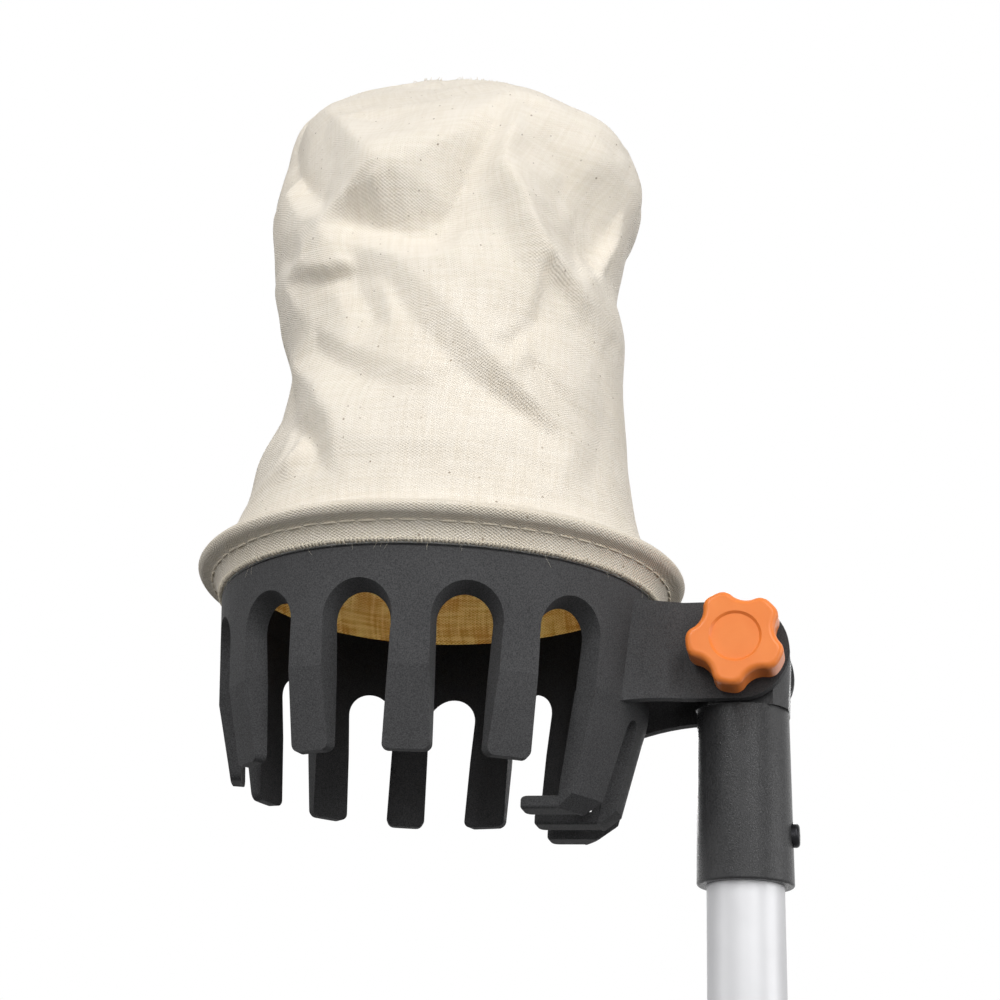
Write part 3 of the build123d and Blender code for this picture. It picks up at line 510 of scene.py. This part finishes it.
def smooth_curve(knots, values, at):
    """Values between knots on a cubic that doesn't overshoot."""
    step = np.diff(knots)
    slope = np.diff(values) / step
    tangent = np.zeros(len(knots))
    for i in range(1, len(knots) - 1):
        if slope[i - 1] * slope[i] > 0:
            a = 2 * step[i] + step[i - 1]
            b = step[i] + 2 * step[i - 1]
            tangent[i] = (a + b) / (a / slope[i - 1] + b / slope[i])
    tangent[0] = slope[0]
    tangent[-1] = slope[-1]
    i = np.clip(np.searchsorted(knots, at, side="right") - 1, 0, len(step) - 1)
    t = (at - knots[i]) / step[i]
    return (
        values[i] * (2 * t**3 - 3 * t**2 + 1)
        + tangent[i] * step[i] * (t**3 - 2 * t**2 + t)
        + values[i + 1] * (3 * t**2 - 2 * t**3)
        + tangent[i + 1] * step[i] * (t**3 - t**2)
    )


def oval_point(angle, outset):
    """Point of the oval, offset outwards, at an angle seen from the middle of its length."""
    ray = np.array([math.cos(angle), math.sin(angle)])
    start = np.array([OVAL_CENTRE, 0.0])
    flip = -1.0 if ray[1] < 0 else 1.0
    best = None
    for centre, radius, low, high in (
        ((0.0, 0.0), RING_RADIUS, math.pi / 2, math.pi),
        ((0.0, -flip * RING_SIDE_CENTRE), SIDE_RADIUS, math.pi / 2 - SIDE_TURN, math.pi / 2),
        ((NOSE_CENTRE, 0.0), NOSE_RADIUS, 0.0, math.pi / 2 - SIDE_TURN),
    ):
        gap = start - centre
        reach = radius + outset
        along = gap @ ray
        inner = along * along - gap @ gap + reach * reach
        if inner < 0:
            continue
        point = start + ray * (math.sqrt(inner) - along)
        turn = math.atan2(flip * (point[1] - centre[1]), point[0] - centre[0])
        miss = max(low - turn, turn - high, 0.0)
        if best is None or miss < best[0]:
            best = (miss, point)
    return best[1]


ARC = np.r_[0, np.cumsum(np.hypot(np.diff(BAG_SECTIONS[:, 0]), np.diff(BAG_SECTIONS[:, 3])))]


def bag_base(angle, arc):
    """The bag without its folds, in the ring's frame: angle and arc as arrays that broadcast."""
    z, centre, length, width = (smooth_curve(ARC, BAG_SECTIONS[:, i], arc) for i in range(4))
    end = np.clip((z - END_FROM) / (BAG_SECTIONS[-1, 0] - END_FROM), 0, 1) ** 2
    z = z - end * (END_DROP + END_ARCH * np.cos(angle) ** 2 - END_TILT * np.cos(angle))
    return np.stack([centre + length * np.cos(angle), width * np.sin(angle), z], -1)


def to_part(points):
    """Ring frame in millimetres to the part's frame in metres."""
    return (np.asarray(points) + (-ARM_LENGTH, 0.0, RING_RISE)) * MM


def bag_normal(angle, arc):
    """Direction out of the bag without its folds."""
    turn = SMALL_MOVE / MEAN_RADIUS
    around = bag_base(angle + turn, arc) - bag_base(angle - turn, arc)
    above, below = np.minimum(arc + SMALL_MOVE, ARC[-1]), np.maximum(arc - SMALL_MOVE, 0.0)
    normal = np.cross(around, bag_base(angle, above) - bag_base(angle, below))
    return normal / np.linalg.norm(normal, axis=-1, keepdims=True)


def seen_at(points):
    """Pixel of the photo where points of the ring's frame are seen."""
    local = (to_part(points) - CAMERA_PLACE) @ np.array(CAMERA_TURN.to_matrix())
    across = CAMERA_LENS / CAMERA_SENSOR * local[..., :2] * (1, -1) / -local[..., 2:]
    return (0.5 + across) * PHOTO_WIDTH


# First tries for a fold's place: a grid on the bag, and which of its points face the camera
TRY_ANGLES, TRY_ARCS = np.meshgrid(
    np.linspace(0, 2 * np.pi, TRY_COLUMNS, endpoint=False),
    np.linspace(PLACE_MARGIN, ARC[-1] - PLACE_MARGIN, TRY_ROWS),
    indexing="ij",
)
TRY_BASE = bag_base(TRY_ANGLES, TRY_ARCS)
TRY_NORMAL = bag_normal(TRY_ANGLES, TRY_ARCS)
TRY_FACING = (TRY_NORMAL * (CAMERA_PLACE - to_part(TRY_BASE))).sum(-1) > 0


def place_on_bag(pixel, height):
    """Angle and arc on the bag where a fold of this height is seen at a pixel."""
    def fold_seen(angle, arc):
        return seen_at(bag_base(angle, arc) + bag_normal(angle, arc) * height)

    miss = np.linalg.norm(seen_at(TRY_BASE + TRY_NORMAL * height) - pixel, axis=-1)
    first = np.where(TRY_FACING, miss, np.inf).argmin()
    angle, arc = TRY_ANGLES.flat[first], TRY_ARCS.flat[first]
    turn = SMALL_MOVE / MEAN_RADIUS
    for _ in range(PLACE_STEPS):
        round_bag = fold_seen(angle + turn, arc) - fold_seen(angle - turn, arc)
        up_bag = fold_seen(angle, arc + SMALL_MOVE) - fold_seen(angle, arc - SMALL_MOVE)
        slope = np.stack([round_bag, up_bag], 1) / (2 * SMALL_MOVE)
        gap = slope.T @ (pixel - fold_seen(angle, arc))
        move = np.linalg.solve(slope.T @ slope + PLACE_DAMPING * np.eye(2), gap)
        move = np.clip(move, -PLACE_STEP_LIMIT, PLACE_STEP_LIMIT)
        angle += move[0] / MEAN_RADIUS
        arc = np.clip(arc + move[1], PLACE_MARGIN, ARC[-1] - PLACE_MARGIN)
    return math.degrees(angle) % 360, arc


def fold_lines():
    """Every fold line as angle in degrees, arc and height."""
    lines = list(FAR_FOLDS.values())
    for line in PHOTO_FOLDS.values():
        lines.append([(*place_on_bag((x, y), height * FOLD_GAIN), height) for x, y, height in line])
    return lines


def fold_points():
    """Points along every fold line, and still points at the hem, the closed end and the side seams."""
    points = []
    for line in fold_lines():
        for (a0, v0, h0), (a1, v1, h1) in zip(line, line[1:]):
            turn = (a1 - a0 + 180) % 360 - 180
            count = max(1, math.ceil(math.hypot(math.radians(turn) * MEAN_RADIUS, v1 - v0) / FOLD_STEP))
            for k in range(count):
                t = k / count
                points.append((a0 + turn * t, v0 + (v1 - v0) * t, h0 + (h1 - h0) * t))
        points.append(line[-1])
    for angle in range(0, 360, STILL_TURN):
        points += [(angle, arc, 0) for arc in STILL_FOOT]
        points += [(angle, ARC[-1] - drop, 0) for drop in STILL_END]
    for angle in SEAM_ANGLES:
        points += [(angle, arc, 0) for arc in SEAM_ARCS]
    kept = []
    for angle, arc, height in points:
        p = (math.radians(angle % 360) * MEAN_RADIUS, arc)
        if all(math.hypot(p[0] - q[0], p[1] - q[1]) > FOLD_SPACING for q, _ in kept):
            kept.append((p, height))
    return kept


def fold_heights(angles, arcs):
    """Height of the folds at every angle and arc: flat facets between the fold lines, softened."""
    around = 2 * math.pi * MEAN_RADIUS
    where, height = [], []
    for (s, v), h in fold_points():
        for turn in (-around, 0.0, around):
            if -FOLD_WRAP < s + turn < around + FOLD_WRAP:
                where.append(Vector((s + turn, v)))
                height.append(h)
    spots, _, faces, origin, _, _ = delaunay_2d_cdt(where, [], [], 0, 1e-4)
    level = np.array([height[o[0]] for o in origin])
    spots = np.array([tuple(p) for p in spots])
    s_grid = angles * MEAN_RADIUS
    out = np.zeros((len(angles), len(arcs)))
    for face in faces:
        p, h = spots[list(face)], level[list(face)]
        i0, i1 = np.searchsorted(s_grid, (p[:, 0].min() - 1e-6, p[:, 0].max() + 1e-6))
        j0, j1 = np.searchsorted(arcs, (p[:, 1].min() - 1e-6, p[:, 1].max() + 1e-6))
        if i0 == i1 or j0 == j1:
            continue
        s, v = np.meshgrid(s_grid[i0:i1], arcs[j0:j1], indexing="ij")
        a, b = p[1] - p[0], p[2] - p[0]
        area = a[0] * b[1] - a[1] * b[0]
        if abs(area) < 1e-9:
            continue
        u = ((s - p[0, 0]) * b[1] - (v - p[0, 1]) * b[0]) / area
        w = ((v - p[0, 1]) * a[0] - (s - p[0, 0]) * a[1]) / area
        inside = (u >= -1e-6) & (w >= -1e-6) & (u + w <= 1 + 1e-6)
        part = out[i0:i1, j0:j1]
        part[inside] = (h[0] + u * (h[1] - h[0]) + w * (h[2] - h[0]))[inside]
    out += crumple(angles, arcs) / FOLD_GAIN
    for _ in range(FOLD_SOFTENING):
        out = (2 * out + np.roll(out, 1, 0) + np.roll(out, -1, 0)) / 4
        wide = np.pad(out, ((0, 0), (1, 1)), mode="edge")
        out = (2 * out + wide[:, 2:] + wide[:, :-2]) / 4
    return out * FOLD_GAIN


def crumple(angles, arcs):
    """Small flat facets, as of cloth that was folded up: distance to the nearest of scattered points."""
    out = np.zeros((len(angles), len(arcs)))
    for i, angle in enumerate(angles):
        x, y = MEAN_RADIUS * math.cos(angle), MEAN_RADIUS * math.sin(angle)
        for j, arc in enumerate(arcs):
            share = min(max((arc - CRUMPLE_FROM) / (CRUMPLE_FULL - CRUMPLE_FROM), 0.0), 1.0)
            if share > 0:
                near = noise.voronoi(Vector((x, y, arc)) / CRUMPLE_SIZE)[0]
                out[i, j] = share * CRUMPLE_DEPTH * (near[0] - 0.5)
    return out


def grid_normals(points):
    """Direction out of a grid of points that closes on itself."""
    across = np.roll(points, -1, 0) - np.roll(points, 1, 0)
    up = np.gradient(points, axis=1)
    normal = np.cross(across, up)
    return normal / np.maximum(np.linalg.norm(normal, axis=-1, keepdims=True), 1e-9)


def hem_profile():
    """Fine steps along the hem's profile."""
    p = np.array(HEM_PROFILE)
    t = np.r_[0, np.cumsum(np.hypot(*np.diff(p, axis=0).T))]
    fine = np.linspace(0, t[-1], (len(p) - 1) * HEM_ROWS_PER_STEP + 1)
    return np.stack([smooth_curve(t, p[:, 0], fine), smooth_curve(t, p[:, 1], fine)], 1)


def new_object(name, points, faces, materials, body):
    """A smooth mesh object that rides on a body."""
    mesh = bpy.data.meshes.new(name)
    mesh.from_pydata([tuple(p) for p in points], [], faces)
    mesh.polygons.foreach_set("use_smooth", [True] * len(mesh.polygons))
    obj = bpy.data.objects.new(name, mesh)
    scene.collection.objects.link(obj)
    for m in materials:
        mesh.materials.append(m)
    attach(obj, body)
    return obj


def make_bag():
    """The bag and its hem as one cloth, and the grid of its points."""
    angles = np.linspace(0, 2 * np.pi, BAG_COLUMNS, endpoint=False)
    arcs = np.linspace(0, ARC[-1], BAG_ROWS)
    base = bag_base(angles[:, None], arcs[None])
    height = fold_heights(angles, arcs)
    bag = base + grid_normals(base) * height[..., None]
    profile = hem_profile()
    hem = np.zeros((BAG_COLUMNS, len(profile), 3))
    for i, angle in enumerate(angles):
        for j, (outset, z) in enumerate(profile):
            x, y = oval_point(angle, outset)
            hem[i, j] = (x, y, z)
    # The foot of the bag leaves the lip of the hem
    lip = hem[:, -1]
    for j, arc in enumerate(arcs):
        t = min(1.0, arc / FOOT_RISE)
        t = t * t * (3 - 2 * t)
        if t < 1.0:
            start = bag[:, j].copy()
            start[:, :2] += lip[:, :2] - bag[:, 0, :2]
            start[:, 2] += lip[:, 2] - bag[:, 0, 2]
            bag[:, j] = start + (bag[:, j] - start) * t
    cloth = np.concatenate([hem, bag[:, 1:]], axis=1)
    columns, rows = cloth.shape[:2]
    half = columns // 2
    # Threads run across and up each panel, measured from the panel's middle
    step = np.linalg.norm(np.roll(cloth, -1, 0) - cloth, axis=-1)
    run = np.concatenate([np.zeros((1, rows)), np.cumsum(step, 0)])
    rise = np.linalg.norm(np.diff(cloth, axis=1), axis=-1).mean(0)
    rise = np.r_[0, np.cumsum(rise)]
    points = cloth.reshape(-1, 3)
    faces, weave = [], []
    for i in range(columns):
        n = (i + 1) % columns
        back = i < half
        middle = run[half // 2] if back else run[half + half // 2]
        for j in range(rows - 1):
            faces.append((i * rows + j, n * rows + j, n * rows + j + 1, i * rows + j + 1))
            for a, b in ((i, j), (i + 1, j), (i + 1, j + 1), (i, j + 1)):
                weave += [(run[a, b] - middle[b]) * MM + (PANEL_SHIFT if back else 0.0), rise[b] * MM]
    # The closed end's seam joins the two panels' top rows, with a triangle at each side
    top = [i * rows + rows - 1 for i in range(columns)]
    for i in range(1, half - 1):
        faces.append((top[i], top[i + 1], top[columns - i - 1], top[columns - i]))
        near, far = run[i, -1] * MM, run[i + 1, -1] * MM
        weave += [near, 0.0, far, 0.0, far, SEAM_WEAVE, near, SEAM_WEAVE]
    faces.append((top[0], top[1], top[columns - 1]))
    faces.append((top[half], top[half + 1], top[half - 1]))
    weave += [0.0, 0.0, SEAM_WEAVE, 0.0, SEAM_WEAVE, SEAM_WEAVE] * 2
    obj = new_object("canvas_bag", to_part(points), faces, [CANVAS_OUT, CANVAS_IN], "head")
    layer = obj.data.uv_layers.new(name="weave")
    layer.data.foreach_set("uv", weave)
    thick = obj.modifiers.new("cloth", "SOLIDIFY")
    thick.thickness = CLOTH * MM
    thick.offset = -1.0
    thick.material_offset = 1
    thick.material_offset_rim = 0
    thick.use_even_offset = False
    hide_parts("bag_front_panel", "bag_back_panel", "hem_band")
    return obj, cloth


bag_object, bag_grid = make_bag()

# Steps round the oval for measuring along it
OVAL_STEPS = 2001
# Stitches of the hem: a thread bows out of the cloth and down a little, and thins at its ends
STITCH_SEED = 5
STITCH_POINTS = 9
STITCH_SIDES = 7
STITCH_SINK = 0.35
STITCH_BOW = 0.45
STITCH_SAG = 0.15
STITCH_UNEVEN = 0.12
STITCH_THIN = 0.55
STITCH_LENGTH = 6.5
STITCH_GAP = 0.7
STITCH_RADIUS = 0.33
STITCH_OUTSET = 4.15
STITCH_RISE = 7.35
# Thread ends that turn round the hem's lower edge
LOOP_PITCH = 1.35
LOOP_RADIUS = 0.34
LOOP_SEED = 9
LOOP_SIDES = 6
LOOP_OUTSET = HEM_PROFILE[3][0]
LOOP_LINE = ((1.4, 2.45), (1.28, 1.9), (0.9, 1.5), (0.4, 1.38), (-0.2, 1.8))
LOOP_WANDER = 0.08
LOOP_UNEVEN = 0.10
# Loose fibres
LOOSE_THREADS = 46
LOOSE_OUTSET = 0.12
LOOSE_RADIUS = 0.026
LOOSE_SEED = 21
LOOSE_RISE = 2.1
LOOSE_SHORT, LOOSE_LONG = 1.5, 5.0
LOOSE_LEAN = 0.35
LOOSE_CURL = 0.25
LOOSE_BOW = 0.35
FIBRE_SIDES = 5
# Cut ends at the seam of the closed end
FRAY_THREADS = 240
FRAY_CLUMPS = 14
FRAY_SPREAD = 4.0
FRAY_SEED = 33
FRAY_SHORT = 0.4
FRAY_LENGTH = 1.0
FRAY_LEAN_ALONG, FRAY_LEAN_ACROSS = 1.0, 0.5
FRAY_CURL = 0.6
FRAY_ROOT = 0.2
FRAY_RADIUS = 0.10


def tube(points, radii, sides):
    """Points and faces of a closed tube along a line."""
    points = np.asarray(points, float)
    ahead = np.gradient(points, axis=0)
    ahead /= np.linalg.norm(ahead, axis=1, keepdims=True)
    side = np.cross(ahead, (0.0, 0.0, 1.0))
    side /= np.maximum(np.linalg.norm(side, axis=1, keepdims=True), 1e-9)
    other = np.cross(side, ahead)
    verts, faces = [], []
    for p, s, o, r in zip(points, side, other, radii):
        for k in range(sides):
            a = 2 * math.pi * k / sides
            verts.append(p + (s * math.cos(a) + o * math.sin(a)) * r)
    for i in range(len(points) - 1):
        for k in range(sides):
            n = (k + 1) % sides
            faces.append((i * sides + k, i * sides + n, (i + 1) * sides + n, (i + 1) * sides + k))
    faces.append(tuple(range(sides))[::-1])
    faces.append(tuple((len(points) - 1) * sides + k for k in range(sides)))
    return verts, faces


def gather(strands, sides):
    """One set of points and faces for many tubes."""
    verts, faces = [], []
    for points, radii in strands:
        v, f = tube(points, radii, sides)
        faces += [tuple(i + len(verts) for i in face) for face in f]
        verts += v
    return verts, faces


def make_stitches():
    """One thread for each stitch along the hem."""
    rng = np.random.default_rng(STITCH_SEED)
    angles = np.linspace(0, 2 * np.pi, OVAL_STEPS)
    line = np.array([oval_point(a, STITCH_OUTSET) for a in angles])
    run = np.r_[0, np.cumsum(np.linalg.norm(np.diff(line, axis=0), axis=1))]
    count = int(run[-1] / STITCH_LENGTH)
    pitch = run[-1] / count
    strands = []
    for k in range(count):
        start = k * pitch + STITCH_GAP / 2
        at = np.linspace(start, start + pitch - STITCH_GAP, STITCH_POINTS)
        a = np.interp(at, run, angles)
        bow = np.sin(np.linspace(0, np.pi, STITCH_POINTS)) ** 0.5
        lift = rng.normal(0, STITCH_UNEVEN)
        pts = []
        for angle, b in zip(a, bow):
            x, y = oval_point(angle, STITCH_OUTSET - STITCH_SINK + STITCH_BOW * b)
            pts.append((x, y, STITCH_RISE + lift - STITCH_SAG * b))
        radii = STITCH_RADIUS * (STITCH_THIN + (1 - STITCH_THIN) * bow)
        strands.append((pts, radii))
    verts, faces = gather(strands, STITCH_SIDES)
    return new_object("hem_stitching", to_part(verts), faces, [THREAD], "head")


def make_edge_loops():
    """The threads of the weave turn round the hem's lower edge, one beside the other."""
    rng = np.random.default_rng(LOOP_SEED)
    angles = np.linspace(0, 2 * np.pi, OVAL_STEPS)
    line = np.array([oval_point(a, LOOP_OUTSET) for a in angles])
    run = np.r_[0, np.cumsum(np.linalg.norm(np.diff(line, axis=0), axis=1))]
    count = int(run[-1] / LOOP_PITCH)
    strands = []
    for k in range(count):
        angle = np.interp((k + 0.5 + rng.normal(0, LOOP_WANDER)) * run[-1] / count, run, angles)
        drop = rng.normal(0, LOOP_UNEVEN)
        pts = []
        for outset, rise in LOOP_LINE:
            x, y = oval_point(angle, outset)
            pts.append((x, y, rise + drop))
        strands.append((pts, np.full(len(pts), LOOP_RADIUS)))
    verts, faces = gather(strands, LOOP_SIDES)
    return new_object("hem_edge_loops", to_part(verts), faces, [THREAD], "head")


def make_loose_threads():
    """A few loose fibres that hang from the hem's edge and lie on the ring."""
    rng = np.random.default_rng(LOOSE_SEED)
    strands = []
    for _ in range(LOOSE_THREADS):
        angle = rng.uniform(0, 2 * np.pi)
        length = rng.uniform(LOOSE_SHORT, LOOSE_LONG)
        lean = rng.normal(0, LOOSE_LEAN)
        curl = rng.normal(0, LOOSE_CURL)
        pts = []
        for t in np.linspace(0, 1, 7):
            turn = (lean * t + curl * t * t) * length / MEAN_RADIUS
            x, y = oval_point(angle + turn, LOOSE_OUTSET + LOOSE_BOW * math.sin(math.pi * t))
            pts.append((x, y, LOOSE_RISE - length * t))
        strands.append((pts, np.full(len(pts), LOOSE_RADIUS)))
    verts, faces = gather(strands, FIBRE_SIDES)
    return new_object("loose_threads", to_part(verts), faces, [THREAD], "head")


def make_seam_fray():
    """Cut thread ends that stand out of the closed end's seam."""
    rng = np.random.default_rng(FRAY_SEED)
    strands = []
    clumps = rng.integers(BAG_COLUMNS, size=FRAY_CLUMPS)
    for k in range(FRAY_THREADS):
        spot = int(clumps[k % FRAY_CLUMPS] + rng.normal(0, FRAY_SPREAD)) % BAG_COLUMNS
        start = bag_grid[spot, -1]
        way = np.array([rng.normal(0, FRAY_LEAN_ALONG), rng.normal(0, FRAY_LEAN_ACROSS), 1.0])
        curl = rng.normal(0, FRAY_CURL, 3)
        length = rng.uniform(FRAY_SHORT, FRAY_LENGTH)
        pts = [start + (way * (u - FRAY_ROOT) + curl * u * u) * length for u in np.linspace(0, 1, 5)]
        strands.append((pts, np.full(len(pts), FRAY_RADIUS)))
    verts, faces = gather(strands, FIBRE_SIDES)
    return new_object("seam_fray", to_part(verts), faces, [THREAD], "head")


stitches = make_stitches()
edge_loops = make_edge_loops()
loose_threads = make_loose_threads()
seam_fray = make_seam_fray()

# Camera
camera = bpy.data.objects.new("camera", bpy.data.cameras.new("camera"))
scene.collection.objects.link(camera)
camera.location = CAMERA_PLACE
camera.rotation_euler = CAMERA_TURN
camera.data.lens = CAMERA_LENS
camera.data.sensor_width = CAMERA_SENSOR
camera.data.clip_start = 10 * MM
scene.camera = camera

# Floor, lamps and a white surround
FLOOR_Z = -0.085
FLOOR_SIZE = 8.0
FLOOR_DARK = (0.80, 0.80, 0.80, 1.0)
FLOOR_PALE = (0.82, 0.82, 0.82, 1.0)
FLOOR_BOUNCE = 0.07
FLOOR_GLOW = 0.62
GLOW_FROM, GLOW_FULL = 0.6, 1.6
bpy.ops.mesh.primitive_plane_add(size=FLOOR_SIZE, location=(0, 0, FLOOR_Z))
floor = bpy.context.object
floor.name = "floor"
g = Graph("floor_white")
spot = g.add("TexCoord").outputs["Object"]
soft = g.noise(spot, 3.0, 2.0)
pale = g.mix(soft, FLOOR_DARK, FLOOR_PALE)
path = g.add("LightPath")
looked_at = g.math("MAXIMUM", path.outputs["Is Camera Ray"], path.outputs["Is Glossy Ray"])
looked_at = g.math("MAXIMUM", looked_at, path.outputs["Is Transmission Ray"])
g.set(Base_Color=g.mix(looked_at, (FLOOR_BOUNCE,) * 3 + (1.0,), pale), Roughness=0.9)
# Past the lamps' reach the floor is as white as the surround
away = g.add("VectorMath", {0: spot}, operation="LENGTH").outputs["Value"]
glow = g.span(away, GLOW_FROM, GLOW_FULL, 0.0, FLOOR_GLOW)
g.set(Emission_Strength=g.math("MULTIPLY", looked_at, glow))
g.shader.inputs["Emission Color"].default_value = (1, 1, 1, 1)
floor.data.materials.append(g.material)


def lamp(name, place, target, size, power):
    """A rectangular lamp that faces a target and isn't seen itself."""
    light = bpy.data.lights.new(name, "AREA")
    light.shape = "RECTANGLE"
    light.size, light.size_y = size
    light.energy = power
    obj = bpy.data.objects.new(name, light)
    scene.collection.objects.link(obj)
    obj.location = place
    obj.rotation_euler = (Vector(target) - Vector(place)).to_track_quat("-Z", "Y").to_euler()
    obj.visible_camera = False


MIDDLE = (-0.09, 0.0, 0.30)
STRIP = (0.16, 0.8)
FILL = (0.7, 0.7)
SHEEN = (0.05, 0.5)
lamp("strip_right", (0.54, -0.97, 0.93), MIDDLE, STRIP, 6.0)
lamp("strip_left", (-0.50, -1.00, 0.99), MIDDLE, STRIP, 5.3)
lamp("fill_right", (1.10, -0.15, 0.24), MIDDLE, FILL, 4.4)
lamp("fill_left", (-1.17, -0.51, 0.30), MIDDLE, FILL, 2.4)
lamp("fill_front", (0.24, -1.19, 0.36), MIDDLE, FILL, 1.8)
lamp("sheen_left", (-0.14, -1.14, 0.27), MIDDLE, SHEEN, 1.0)
lamp("sheen_right", (0.62, -0.98, 0.27), MIDDLE, SHEEN, 1.0)
lamp("fill_back", (-0.25, 1.15, 0.75), MIDDLE, FILL, 9.5)

AMBIENT = 0.22
world = bpy.data.worlds.new("surround")
world.use_nodes = True
scene.world = world
tree = world.node_tree
background = tree.nodes["Background"]
path = tree.nodes.new("ShaderNodeLightPath")
seen = tree.nodes.new("ShaderNodeMath")
seen.operation = "MAXIMUM"
tree.links.new(path.outputs["Is Camera Ray"], seen.inputs[0])
tree.links.new(path.outputs["Is Glossy Ray"], seen.inputs[1])
clear = tree.nodes.new("ShaderNodeMath")
clear.operation = "MAXIMUM"
tree.links.new(seen.outputs[0], clear.inputs[0])
tree.links.new(path.outputs["Is Transmission Ray"], clear.inputs[1])
level = tree.nodes.new("ShaderNodeMapRange")
level.inputs["To Min"].default_value = AMBIENT
level.inputs["To Max"].default_value = 1.0
tree.links.new(clear.outputs[0], level.inputs["Value"])
background.inputs["Color"].default_value = (1, 1, 1, 1)
tree.links.new(level.outputs[0], background.inputs["Strength"])

scene.view_settings.view_transform = "Standard"
